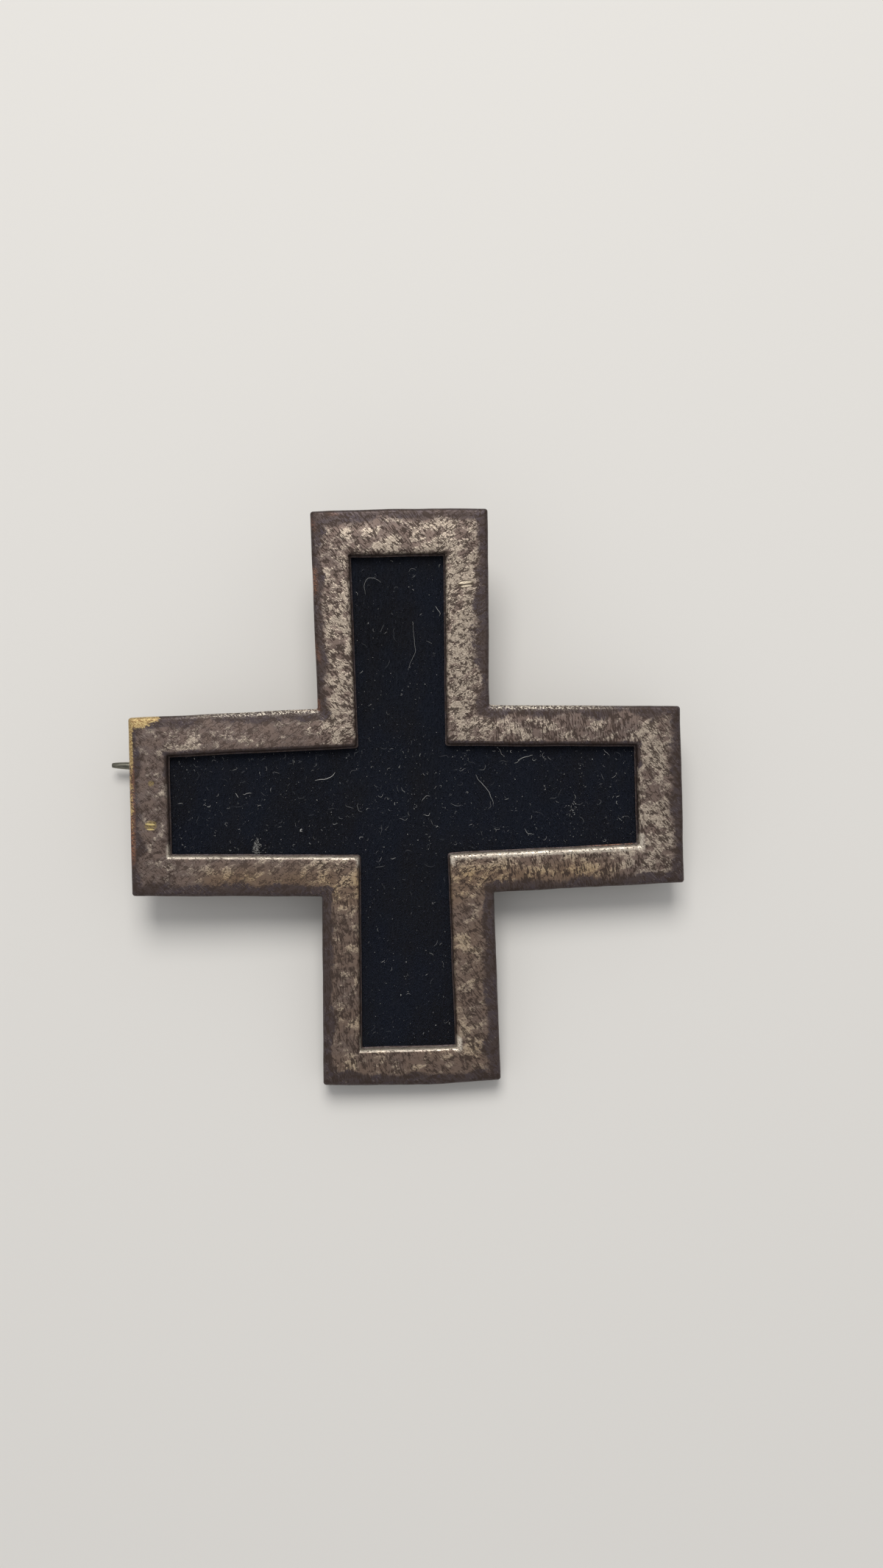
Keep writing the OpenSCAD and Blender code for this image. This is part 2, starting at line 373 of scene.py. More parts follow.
rivet_brass = browned_brass("rivet_brass", (186, 158, 108), (118, 94, 66), 40, 0.44)
filed_copy("hinge_rivet", "hinge_rivet_wire", rivet_brass, 0.12)

# The pin: steel wire, curled round the rivet at one end and ground to a point at the
# other. It has dulled to a dark olive grey, with rust in places.

STEM_R = 0.42
ROOT_R = 0.60
ROOT_FROM = 0.55
ROOT_LEN = 1.6
POINT_LEN = 9
POINT_R = 0.12
BARREL_R = 0.85
BARREL_HOLE_R = 0.43
BARREL_W = 1.4
BARREL_EDGE = 0.07
SIDES = 32

pin_way = Vector(pin_mount["axis"])
pin_side = Vector(hinge["axis"]).normalized()
pin_up = pin_way.cross(pin_side).normalized()
pin_len = (pivot.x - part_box("pin")[0].x) / -pin_way.x / MM
pin_place = Matrix.Translation(pivot) @ Matrix((
    (*pin_way,), (*pin_side,), (*pin_up,)
)).transposed().to_4x4()


def turned_ring(profile, along_axis):
    """Faces and points of a profile of (along, radius) turned round an axis."""
    points, faces = [], []
    for along, radius in profile:
        for k in range(SIDES):
            turn = math.tau * k / SIDES
            around = (math.cos(turn) * radius, math.sin(turn) * radius)
            if along_axis == "x":
                points.append((along, *around))
            else:
                points.append((around[0], along, around[1]))
    for i in range(len(profile) - 1):
        for k in range(SIDES):
            here, after = i * SIDES + k, i * SIDES + (k + 1) % SIDES
            faces.append((here, after, after + SIDES, here + SIDES))
    return points, faces


stem_profile = [(ROOT_FROM, ROOT_R)]
for along in np.linspace(0.75, 2.4, 8):
    share = min(1, (along - ROOT_FROM) / ROOT_LEN)
    stem_profile.append((along, ROOT_R + (STEM_R - ROOT_R) * math.sin(share * math.pi / 2)))
stem_profile += [(along, STEM_R) for along in np.linspace(3, pin_len - POINT_LEN, 20)]
behind_the_tip = [*np.linspace(POINT_LEN - 0.5, 1, 16), 0.7, 0.45, 0.25, 0.12, 0.05]
for behind in behind_the_tip:
    radius = POINT_R + (STEM_R - POINT_R) * (behind / POINT_LEN) ** 0.35
    stem_profile.append((pin_len - behind, radius))
stem_profile += [(pin_len - 0.015, POINT_R * 0.75), (pin_len, 0.01)]
stem_points, stem_faces = turned_ring(stem_profile, "x")
stem_faces.append(tuple(range(len(stem_points) - 1, len(stem_points) - SIDES - 1, -1)))

barrel_side = [
    (BARREL_W / 2 - BARREL_EDGE, BARREL_R),
    (BARREL_W / 2 - BARREL_EDGE * 0.3, BARREL_R - BARREL_EDGE * 0.3),
    (BARREL_W / 2, BARREL_R - BARREL_EDGE),
    (BARREL_W / 2, BARREL_HOLE_R + BARREL_EDGE),
    (BARREL_W / 2 - BARREL_EDGE, BARREL_HOLE_R),
]
other_side = [(-along, radius) for along, radius in reversed(barrel_side)]
barrel_profile = other_side[1:] + barrel_side + other_side[:2]
barrel_points, barrel_faces = turned_ring(barrel_profile, "y")
pin_points = placed(np.array(stem_points + barrel_points) * MM, pin_place)
pin_faces = list(stem_faces)
for face in barrel_faces:
    pin_faces.append(tuple(i + len(stem_points) for i in face))

steel = Finish("dulled_pin_steel", Metallic=0.85)
drawn_lines = steel.grain(math.degrees(math.atan2(fit_along.y, fit_along.x)), 6, 0.08)
rust = steel.step(steel.grain(0, 0.9, 0.5, 5, 0.65, shift=4), 0.56, 0.70)
steel_lines = steel.step(drawn_lines, 0.35, 0.65)
steel_tone = steel.mixed(steel_lines, colour(92, 90, 80), colour(134, 130, 118))
steel.set("Base Color", steel.mixed(rust, steel_tone, colour(84, 64, 46)))
steel.set("Roughness", steel.step(rust, -0.9, 1.7))
steel.bumped(steel.sums("ADD", drawn_lines, rust), 0.01)
pin = piece("pin_wire", pin_points, pin_faces, steel.material, body="pin")
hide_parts("pin")

# The velvet: a cross of black silk velvet on card, laid over the back plate and tucked
# under the border's lip all round. Its short pile has a blue cast and lies over a little,
# down the cross, so that it shows lighter and darker drifts; these are painted sheen in its colour.

VELVET_TUCK = 0.8
CLOTH_Z = 1.06
PILE = 0.2
PILE_STEP = 0.115
TUFT_HALF_W = 0.03
ROOT_DEPTH = 0.02
PANEL = 41

velvet_edge = cross_corners("velvet")
window = moved_in(velvet_edge, VELVET_TUCK)
# Each arm as two corners at the crossing and its two tips.
ARMS = [(11, 2, 1, 0), (2, 5, 4, 3), (5, 8, 7, 6), (8, 11, 10, 9)]


def patch(corners, count):
    """A grid of points over four corners, as rows from the first two to the last two."""
    near = np.linspace(corners[0], corners[1], count)
    far = np.linspace(corners[3], corners[2], count)
    return np.linspace(near, far, count).reshape(-1, 2)


# Five panels that share the points of their seams: the crossing and the arms.
cloth_flat, cloth_faces, place_of = [], [], {}
for quad in [(11, 2, 5, 8)] + ARMS:
    numbers = []
    for point in patch(velvet_edge[list(quad)], PANEL):
        key = tuple(np.round(point, 4))
        if key not in place_of:
            place_of[key] = len(cloth_flat)
            cloth_flat.append(point)
        numbers.append(place_of[key])
    for i in range(PANEL - 1):
        for j in range(PANEL - 1):
            at = i * PANEL + j
            face = [numbers[at], numbers[at + 1], numbers[at + PANEL + 1], numbers[at + PANEL]]
            one = cloth_flat[face[1]] - cloth_flat[face[0]]
            two = cloth_flat[face[3]] - cloth_flat[face[0]]
            cloth_faces.append(face if one[0] * two[1] > one[1] * two[0] else face[::-1])
cloth_flat = np.array(cloth_flat)


def cloth_height(x, y):
    """The cloth's face: nearly flat, with the card's slow waves in it."""
    return CLOTH_Z + 0.03 * noise.noise(Vector((x * 0.22, y * 0.22, 5)))


cloth_heights = [cloth_height(x, y) for x, y in cloth_flat]
velvet_black = Finish(
    "blue_black_velvet",
    Roughness=0.9,
    Sheen_Weight=0.35,
    Sheen_Roughness=0.35,
    Sheen_Tint=colour(100, 112, 142),
    Specular_IOR_Level=0.15,
)
# Painted sheen: slow drifts of bluer black, and lighter streaks along the nap, which is also bumped.
sheen_drift = velvet_black.step(velvet_black.grain(80, 5, 2.4, 3, 0.5, shift=2), 0.35, 0.65)
nap = velvet_black.step(velvet_black.grain(86, 0.5, 0.09, 3, 0.7), 0.35, 0.7)
velvet_tone = velvet_black.mixed(sheen_drift, colour(21, 21, 25), colour(19, 23, 33))
velvet_tone = velvet_black.mixed(velvet_black.scaled(nap, 0.45), velvet_tone, colour(37, 40, 48))
velvet_black.set("Base Color", velvet_tone)
velvet_black.bumped(nap, 0.03)
cloth_points = off_plate(np.column_stack([cloth_flat, cloth_heights]))
velvet = piece(
    "velvet_cloth", cloth_points, cloth_faces, velvet_black.material, smooth=180
)
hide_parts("velvet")


def inside(points, corners):
    """Which points are inside an outline."""
    hits = np.zeros(len(points), bool)
    for a, b in zip(corners, np.roll(corners, -1, 0)):
        spans = (a[1] > points[:, 1]) != (b[1] > points[:, 1])
        rise = b[1] - a[1] if b[1] != a[1] else 1e-9
        crosses_at = a[0] + (b[0] - a[0]) * (points[:, 1] - a[1]) / rise
        hits ^= spans & (points[:, 0] < crosses_at)
    return hits


# The pile: a leaf-shaped tuft near each point of a fine grid, lying down the cross.
chance = np.random.default_rng(1867)
low, high = velvet_edge.min(0), velvet_edge.max(0)
grid = np.stack(np.meshgrid(
    np.arange(low[0], high[0], PILE_STEP), np.arange(low[1], high[1], PILE_STEP)
), -1).reshape(-1, 2)
grid = grid + chance.uniform(-0.5, 0.5, grid.shape) * PILE_STEP
tufts = grid[inside(grid, moved_in(window, -0.2))]
count = len(tufts)
lie = np.array([noise.noise(Vector((x * 0.3, y * 0.3, 9))) for x, y in tufts])
heading = -math.pi / 2 + 0.9 * lie + chance.normal(0, 0.35, count)
reach = PILE * (0.35 + 0.25 * lie) * chance.uniform(0.7, 1.3, count)
tall = PILE * chance.uniform(0.75, 1.1, count)
spin = chance.uniform(0, math.pi, count)
sideways = np.column_stack([np.cos(spin), np.sin(spin)]) * TUFT_HALF_W
lean_way = np.column_stack([np.cos(heading), np.sin(heading)]) * reach[:, None]
base_z = np.full(count, CLOTH_Z - ROOT_DEPTH)
tuft_points = np.stack([
    np.column_stack([tufts - sideways, base_z]),
    np.column_stack([tufts + sideways, base_z]),
    np.column_stack([tufts + sideways * 0.8 + lean_way * 0.35, base_z + tall * 0.6]),
    np.column_stack([tufts - sideways * 0.8 + lean_way * 0.35, base_z + tall * 0.6]),
    np.column_stack([tufts + lean_way, base_z + tall]),
], 1).reshape(-1, 3)
tuft_faces = []
for k in range(0, 5 * count, 5):
    tuft_faces += [(k, k + 1, k + 2, k + 3), (k + 3, k + 2, k + 4)]
pile = piece(
    "velvet_pile", off_plate(tuft_points), tuft_faces, velvet_black.material, smooth=180
)

# The border: one sheet of silvered brass pressed over a former, with a straight skirt, a
# low crown and a lip rolled down onto the velvet, its rim folded in over the back plate.
# The silver is tarnished and covered in fine strokes, and brass shows where it has worn.

STATION = 0.22
# The radii of each arm's two tips, and of the corner between it and the next arm.
OUTER_R = [0.20, 0.20, 0.12]
WINDOW_R = [0.09, 0.09, 0.22]
ARC_STEPS = 6
FACE_Z = 1.90
CROWN = 0.08
SHOULDER = 0.30
LIP_R = 0.24


def rounded(corners, radii):
    """Each corner's arc, as ARC_STEPS + 1 points."""
    arcs = []
    for i, here in enumerate(corners):
        back, ahead = corners[i - 1] - here, corners[(i + 1) % len(corners)] - here
        back, ahead = back / np.hypot(*back), ahead / np.hypot(*ahead)
        half_turn = math.acos(np.clip(back @ ahead, -1, 1)) / 2
        bisector = (back + ahead) / np.hypot(*(back + ahead))
        radius = radii[i % 3]
        centre = here + bisector * radius / math.sin(half_turn)
        start = here + back * radius / math.tan(half_turn) - centre
        end = here + ahead * radius / math.tan(half_turn) - centre
        sweep = math.pi - 2 * half_turn
        arc = []
        for t in np.linspace(0, 1, ARC_STEPS + 1):
            spoke = start * math.sin(sweep * (1 - t)) + end * math.sin(sweep * t)
            arc.append(centre + spoke / math.sin(sweep))
        arcs.append(arc)
    return arcs


def border_section(width):
    """(distance in from the outer edge, height) round the pressed sheet."""
    folded_rim = [(1.0, 0.34), (1.02, 0.2), (0.97, 0.03), (0.9, 0.0), (0.5, 0.0), (0.18, 0.0)]
    skirt = [(0.05, 0.05), (0, 0.17), (0, 0.6), (0, 1.0)]
    shoulder_top = FACE_Z - CROWN
    shoulder = []
    for turn in range(0, 91, 15):
        way = math.radians(turn)
        drop = SHOULDER * 1.1 * (1 - math.sin(way))
        shoulder.append((SHOULDER * (1 - math.cos(way)), shoulder_top - drop))
    face = []
    for share in np.linspace(0, 1, 13)[1:]:
        across = SHOULDER + (width - SHOULDER - LIP_R) * share
        face.append((across, shoulder_top + CROWN * math.sin(share * math.pi * 0.62)))
    crest = face[-1][1]
    rolled_lip = []
    for turn in range(15, 91, 15):
        way = math.radians(turn)
        drop = LIP_R * 1.05 * (1 - math.cos(way))
        rolled_lip.append((width - LIP_R * (1 - math.sin(way)), crest - drop))
    rolled_lip += [(width + 0.01, 1.40), (width + 0.05, 1.33), (width + 0.11, 1.31)]
    underside = [(width + 0.11, 1.26), (width - 0.2, 1.26), (width - 0.3, 1.45)]
    underside += [(width - 0.6, 1.52), (width / 2, 1.5), (0.8, 1.45), (0.35, 1.1), (0.35, 0.36)]
    return folded_rim + skirt + shoulder + face + rolled_lip + underside


# Stations round the border, each with its outer point, its inner point, the width
# there, the side that it is on and how far along that side it is.
outer_arcs, window_arcs = rounded(outline, OUTER_R), rounded(window, WINDOW_R)
sides = len(outline)
widths = []
for i in range(sides):
    way = outline[(i + 1) % sides] - outline[i]
    widths.append(float(np.cross(window[i] - outline[i], way / np.hypot(*way))))
stations = []
for i in range(sides):
    for k in range(ARC_STEPS + 1):
        share = k / ARC_STEPS
        width = widths[i - 1] * (1 - share) + widths[i] * share
        stations.append((outer_arcs[i][k], window_arcs[i][k], width, i, 0.0))
    out_a, out_b = outer_arcs[i][-1], outer_arcs[(i + 1) % sides][0]
    in_a, in_b = window_arcs[i][-1], window_arcs[(i + 1) % sides][0]
    steps = round(np.hypot(*(out_b - out_a)) / STATION)
    for k in range(1, steps):
        t = k / steps
        stations.append((out_a + (out_b - out_a) * t, in_a + (in_b - in_a) * t, widths[i], i, t))

# The two ends stand out a little in their middles, and the whole border is a little wavy.
TOP_END, BOTTOM_END = 0, 6
BOWS = {TOP_END: 0.085, BOTTOM_END: -0.17}
SLOW_WAVE = 0.035
QUICK_WAVE = 0.012
ring, share_across = [], []
for out, inner, width, side, t in stations:
    for across, height in border_section(width):
        share = across / width
        x, y = out + (inner - out) * share
        y += BOWS.get(side, 0) * math.sin(math.pi * t) * max(0, 1 - share)
        slow = Vector((x * 0.3, y * 0.3, 1))
        quick = Vector((x * 1.1, y * 1.1, 4))
        worn = QUICK_WAVE * noise.noise(quick)
        x += SLOW_WAVE * noise.noise(slow) + worn
        y += SLOW_WAVE * noise.noise(slow + Vector((7, 3, 0)))
        y += QUICK_WAVE * noise.noise(quick + Vector((5, 0, 0)))
        if height > 0.9:
            height += 0.03 * noise.noise(slow + Vector((0, 9, 2))) + worn
        ring.append((x, y, height))
        share_across.append(share)
deep = len(border_section(1))
ring_faces = []
for i in range(len(stations)):
    here, ahead = i * deep, (i + 1) % len(stations) * deep
    for j in range(deep):
        after = (j + 1) % deep
        ring_faces.append((here + j, ahead + j, ahead + after, here + after))

silver = Finish("tarnished_silvered_brass", Metallic=0.6)
edge_and_lip_dark = silver.painted("tarnish_and_lip_shade")
leaning = silver.painted("strokes_leaning")
upright = silver.painted("strokes_upright")
tangled = silver.painted("strokes_tangled")
brassy = silver.painted("brassy")
coppery = silver.painted("coppery")
warm = silver.painted("warm")
polish = silver.painted("polish")
lip = silver.painted("lip")
lit_edge_highlight = silver.painted("lit_edge_highlight")

# Hair-thin dark strokes leaning down to the right, strokes straight across the arms,
# and a tangle of marks all ways, each shown where the border was rubbed that way. They
# come and go in clumps.
STROKE_LINE = (0.562, 0.582)
clumps = silver.scaled(silver.grain(15, 0.55, 0.40, 3, 0.6, shift=21), 0.20)


def scored(lean, length, width, shift, twist=0.25):
    """Hair-thin strokes along one direction: the middle line of a drawn-out noise."""
    run = silver.grain(lean, length, width, 2, 0.5, shift=shift, twist=twist)
    near = silver.sums("PINGPONG", run, 0.5)
    return silver.step(silver.sums("ADD", near, clumps), *STROKE_LINE)


def crossed(first, second, share):
    """Two sets of strokes, shown to a painted share."""
    return silver.sums("MULTIPLY", silver.sums("MAXIMUM", first, second), share)


leaning_strokes = crossed(scored(-54, 1.3, 0.25, 0), scored(-36, 0.9, 0.30, 31), leaning)
upright_strokes = crossed(scored(-86, 1.6, 0.23, 5), scored(-68, 1.1, 0.30, 17), upright)
tangled_strokes = crossed(scored(38, 0.95, 0.29, 8, 0.7), scored(-30, 0.45, 0.34, 40, 1.0), tangled)
marks = silver.sums("ADD", leaning_strokes, upright_strokes)
marks = silver.sums("ADD", marks, tangled_strokes)

# Where the dark tarnish is gone, where the silver under it is rubbed bright, and the
# hair-thin bright scratches over both.
clouds = silver.grain(20, 1.0, 0.7, 5, 0.62, shift=1)
fine = silver.grain(-30, 0.17, 0.10, 3, 0.7, shift=6)
drawn = silver.grain(-83, 0.8, 0.09, 3, 0.65, shift=27)
ragged = silver.made("Mix", {0: upright, 2: fine, 3: drawn}, data_type="FLOAT").outputs[0]
cloud_dark = silver.scaled(silver.step(clouds, 0.47, 0.66), 0.30)
# The painted lip shade comes in here with the tarnish, and so takes the tarnish's dark colour.
hidden = silver.sums("ADD", edge_and_lip_dark, cloud_dark)
hidden = silver.sums("ADD", hidden, silver.scaled(ragged, 1.1))
bare = silver.step(hidden, 1.22, 0.84)
rubbed = silver.sums("ADD", clouds, silver.scaled(polish, 0.30))
rubbed = silver.sums("ADD", rubbed, silver.scaled(fine, 0.25))
bright = silver.sums("MULTIPLY", silver.step(rubbed, 0.71, 0.87), bare)
hairs = silver.step(silver.grain(-42, 1.0, 0.030, 2, 0.5, shift=14), 0.60, 0.67)
hairs = silver.sums("MULTIPLY", hairs, silver.step(clouds, 0.44, 0.58))
bright = silver.sums("MAXIMUM", bright, silver.scaled(hairs, 0.35))

# The colours, from the tarnish down to the metal that shows through it.
cloudy = silver.step(clouds, 0.36, 0.66)
# The thick tarnish colour is also the colour of the painted shade at the lips.
tarnish_and_shade_tone = silver.mixed(cloudy, colour(74, 62, 58), colour(72, 62, 65))
thin_tarnish = silver.mixed(cloudy, colour(116, 99, 90), colour(102, 89, 85))
thin_tarnish = silver.mixed(silver.scaled(warm, 0.55), thin_tarnish, colour(124, 97, 66))
pale = silver.mixed(silver.step(fine, 0.34, 0.62), colour(147, 132, 118), colour(200, 184, 165))
pale = silver.mixed(silver.scaled(warm, 0.75), pale, colour(176, 144, 96))
tone = silver.mixed(bare, tarnish_and_shade_tone, thin_tarnish)
tone = silver.mixed(bright, tone, pale)
stroke_brown = colour(58, 45, 38)
tone = silver.mixed(silver.scaled(marks, 0.92), tone, stroke_brown)

# Copper-red wear on the lower edges and golden wear at the left arm's corner.
copper_red = colour(168, 116, 88)
copper = silver.sums("MULTIPLY", coppery, silver.step(fine, 0.40, 0.56))
tone = silver.mixed(silver.scaled(copper, 0.7), tone, copper_red)
thin_brass = silver.step(silver.sums("ADD", brassy, silver.scaled(fine, 0.9)), 0.86, 1.12)
brass_tone = silver.mixed(silver.step(fine, 0.38, 0.6), colour(142, 110, 70), colour(204, 180, 126))
tone = silver.mixed(silver.scaled(thin_brass, 0.9), tone, brass_tone)

# A yellow spot and an ochre nick with two bright lines in the left end, and a nick of
# two short bars cut through the silver of the top arm, with painted shadow in the cut
# round them. Each is where it is on the plate, with its length, its width and its lean.
YELLOW_SPOT = (-17.61, 1.6, 0.42, 0.40)
OCHRE_NICK = (-17.70, -1.30, 0.90, 0.70)
LINES = [(-17.73, -1.22, 0.70, 0.13, -5), (-17.71, -1.58, 0.55, 0.10, -3)]
NICK_SHADOW = (4.53, 14.99, 1.2, 0.56, 6)
BARS = [(4.50, 15.10, 0.98, 0.19, 6), (4.58, 14.86, 0.80, 0.15, 6)]
ochre = silver.sums("MAXIMUM", silver.spot(*YELLOW_SPOT), silver.spot(*OCHRE_NICK))
ochre = silver.sums("MULTIPLY", ochre, silver.step(fine, 0.30, 0.62))
tone = silver.mixed(silver.scaled(ochre, 0.7), tone, colour(150, 130, 76))
# Painted shadow: the dark patch in the top arm's nick, round its two bars.
tone = silver.mixed(silver.spot(*NICK_SHADOW), tone, colour(74, 62, 50))
for cuts, cut_colour in ((BARS, colour(218, 202, 178)), (LINES, colour(210, 188, 128))):
    for cut in cuts:
        cut_share = silver.sums("MULTIPLY", silver.spot(*cut), silver.step(fine, 0.18, 0.44))
        tone = silver.mixed(cut_share, tone, cut_colour)

# Painted highlight: the lower lips and the side arms' up-facing edges, where they catch the light, are coloured
# bright cream and made smoother.
highlight_cream = colour(226, 214, 196)
painted_highlight = silver.sums("MULTIPLY", lip, silver.step(fine, 0.36, 0.50))
edge_highlight = silver.sums("MULTIPLY", lit_edge_highlight, silver.step(fine, 0.46, 0.58))
painted_highlight = silver.sums("MAXIMUM", painted_highlight, edge_highlight)
tone = silver.mixed(painted_highlight, tone, highlight_cream)
silver.set("Base Color", tone)
shown = silver.sums("SUBTRACT", silver.sums("MAXIMUM", bright, painted_highlight), silver.scaled(marks, 0.5))
silver.set("Roughness", silver.scaled(shown, -0.18, 0.46))
silver.bumped(silver.sums("ADD", shown, silver.scaled(fine, 0.5)), 0.011)

border = piece(
    "pressed_border", off_plate(ring), ring_faces, silver.material, smooth=50
)
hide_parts("frame")


def paint(target, name, values):
    """A share from 0 to 1 at every point of a piece, for its material."""
    layer = target.data.attributes.new(name, "FLOAT", "POINT")
    layer.data.foreach_set("value", np.clip(values, 0, 1).astype(np.float32))


def soft(value, low, high):
    """0 at low, 1 at high, smooth between."""
    share = np.clip((value - low) / (high - low), 0, 1)
    return share * share * (3 - 2 * share)


# Distances are millimetres on the plate; share goes from 0 at the outer edge to 1 at the
# window.
ring = np.array(ring)
x, y, z = ring.T
share = np.array(share_across)
drift_noise = np.array([noise.noise(Vector((a * 0.55, b * 0.55, 2))) for a, b in ring[:, :2]])
fine_noise = np.array([noise.noise(Vector((a * 1.9, b * 1.9, 6))) for a, b in ring[:, :2]])
on_top, on_right, on_left, on_bottom = y > 6.4, x > 6.2, x < -6.2, y < -6.4
right_end, left_end = x > 16.5, x < -16

# Dark bands of tarnish along the outer edge and in the corners, darker on the lower borders, and painted shade at
# the upper borders' lips, which face away from the light.
tips = [corner for k, corner in enumerate(outline) if k not in CONCAVE]
corner_gap = np.min([np.hypot(x - tip_x, y - tip_y) for tip_x, tip_y in tips], 0)
band = soft(share, 0.46 + 0.34 * drift_noise, 0.10)
corner_band = soft(corner_gap + 0.6 * fine_noise, 1.9, 0.4)
lower_lip = (np.abs(y + 3.6) < 0.9) * (np.abs(x) > 3) + (y < -16.5) * (np.abs(x) < 3.6)
upper_lip = (np.abs(y - 3.2) < 1.2) * (np.abs(x) > 3)
# Painted shade at the window's lips: strong on the upper borders, faint on the side borders, none on the lower
# ones.
upper_lip_shade = soft(share, 0.86, 0.97) * (lower_lip < 0.5) * np.where(upper_lip, 0.8, 0.2)
band_depth = np.where(y < -3, 0.95, 0.8) + 0.4 * drift_noise
dark_band = np.maximum(band * band_depth, 0.8 * corner_band)
below_the_shoulder = z < 1.2
tucked_in = share > 1.002
tarnish_and_shade = np.maximum(dark_band, upper_lip_shade) + below_the_shoulder + 0.8 * tucked_in
paint(border, "tarnish_and_lip_shade", tarnish_and_shade)

# Which way each arm was rubbed.
lean_share = np.zeros(len(ring))
lean_share[on_top & (x < 2.5)] = 1
lean_share[on_right & right_end] = 0.9
lean_share[on_left & left_end] = 0.5
lean_share[on_bottom & (x > 0)] = 0.8
upright_share = np.zeros(len(ring))
upright_share[on_right & ~right_end] = 1
upright_share[on_bottom & (x < 0)] = 0.8
tangle_share = 1 - np.maximum(lean_share, upright_share)
tangle_share[on_left] = 0.75 - 0.3 * left_end[on_left]
paint(border, "strokes_leaning", lean_share)
paint(border, "strokes_upright", upright_share)
paint(border, "strokes_tangled", tangle_share)

# How bright the silver was rubbed: most on the top arm, least on the left one.
by_top, by_right = soft(y, 5, 9), soft(x, 5, 9) * (np.abs(y) < 7)
by_left, by_bottom = soft(-x, 5, 9) * (np.abs(y) < 7), soft(-y, 5, 9)
rub = 0.55 + by_top * (0.22 * soft(x, -2, 3) + 0.06 - 0.24 * soft(y, 15.5, 17.5))
rub += by_right * (0.20 * soft(x, 15, 17.5) - 0.15) - 0.35 * by_left - 0.24 * by_bottom
paint(border, "polish", rub + 0.4 * drift_noise)

# Warm brass through the thin silver of the side arms' lower borders and the bottom arm.
lower_half = soft(-y, 3.5, 5.5) * soft(np.abs(x), 16, 13)
thinning = (0.8 + 0.5 * drift_noise) * (1 - 0.6 * soft(-y, 6, 8))
paint(border, "warm", lower_half * thinning)

# Golden brass at the left arm's top corner and down its end.
top_left_corner = soft(np.hypot((x + 18.6) * 0.75, (y - 6.2) * 1.3), 1.7, 0.3)
left_edge = soft(share, 0.17, 0.08) * soft(y, -3.0, -1.6) * (x < -17)
left_edge = left_edge * (0.86 - 0.35 * soft(-y, -4.5, -1.5) + 0.4 * fine_noise)
paint(border, "brassy", np.maximum(top_left_corner, left_edge) * (z > 0.6))

# Copper-red wear down the left end, about the right end's rim, and on the top arm's left
# flank.
lower_edge = soft(share, 0.15, 0.08) * (x < -17) * soft(y, -4.5, -3.0) * soft(y, 4.5, 2.5)
right_rim = soft(np.abs(x - 15.65), 0.35, 0.1) * soft(y, -3.8, -3.2) * soft(y, 0.8, -0.5)
right_rim += soft(np.abs(x - 13.9), 1.3, 0.8) * soft(np.abs(y + 3.2), 0.4, 0.15)
left_flank = 0.8 * soft(share, 0.16, 0.05) * (x < -4) * on_top * soft(drift_noise, 0.1, 0.35)
paint(border, "coppery", lower_edge + right_rim + left_flank)

# Painted highlight: the lower lips catch the light, and so do the edges of the side arms that face up.
lip_from = np.where(x > 3, 0.88, 0.92)
on_lip = soft(share, lip_from, lip_from + 0.04) * soft(share, 1.02, 0.99) * lower_lip
paint(border, "lip", on_lip * (0.75 + 0.5 * fine_noise))
up_facing = (np.abs(y - 6.3) < 0.6) * (np.abs(x) > 6) * (z > 1.4)
paint(border, "lit_edge_highlight", up_facing * soft(share, 0.13, 0.05) * soft(np.abs(x), 17, 9))

# The lint: pale hairs and specks of dust caught in the velvet's pile, lying every way,
# thickest about the crossing and the left and right arms, with a clot of fluff against
# the lower lip of the left arm.

LINT_R = 0.016
PILE_TOP = CLOTH_Z + PILE
THREADS = 430
SPECKS = 2000
CLOT = 90
CLUSTER = 24
BRIGHT_SPECK = 5


def thread(path, radius):
    """A fine three-sided thread along a path of plate points, thin at both ends."""
    path = np.array(path)
    ways = np.gradient(path, axis=0)
    ways /= np.linalg.norm(ways, axis=1)[:, None]
    beside = np.cross(ways, (0, 0, 1))
    beside /= np.maximum(np.linalg.norm(beside, axis=1)[:, None], 1e-6)
    above = np.cross(beside, ways)
    swell = np.sin(np.linspace(0.15, math.pi - 0.15, len(path)))
    taper = radius * (0.35 + 0.65 * swell)[:, None]
    edges = [path + taper * (math.cos(t) * beside + math.sin(t) * above) for t in (0.5, 2.6, 4.7)]
    points = np.stack(edges, 1).reshape(-1, 3)
    faces = []
    for here in range(0, 3 * len(path) - 3, 3):
        for k in range(3):
            after = (k + 1) % 3
            faces.append((here + k, here + after, here + 3 + after, here + 3 + k))
    return points, faces


def curl(x, y, heading, length, bend, steps=12):
    """A path that sets off in one direction, turns as it goes and wavers a little."""
    path = []
    for k in range(steps + 1):
        t = k / steps
        height = 0.02 + 0.05 * math.sin(t * math.pi) + 0.02 * math.sin(9 * t + x)
        path.append((x, y, PILE_TOP + height))
        heading += bend / steps + 0.75 * noise.noise(Vector((x * 5, y * 5, 7)))
        x += math.cos(heading) * length / steps
        y += math.sin(heading) * length / steps
    return path


def caught(margin, middle, below, above):
    """A chance place on the velvet, inside the window by a margin."""
    bounds = moved_in(window, margin)
    while True:
        x, y = lint.uniform(low[0], high[0]), lint.uniform(low[1], high[1])
        if not inside(np.array([[x, y]]), bounds)[0]:
            continue
        crowd = 1.0 if abs(y) < middle else below if y < 0 else above
        if lint.random() <= crowd:
            return x, y


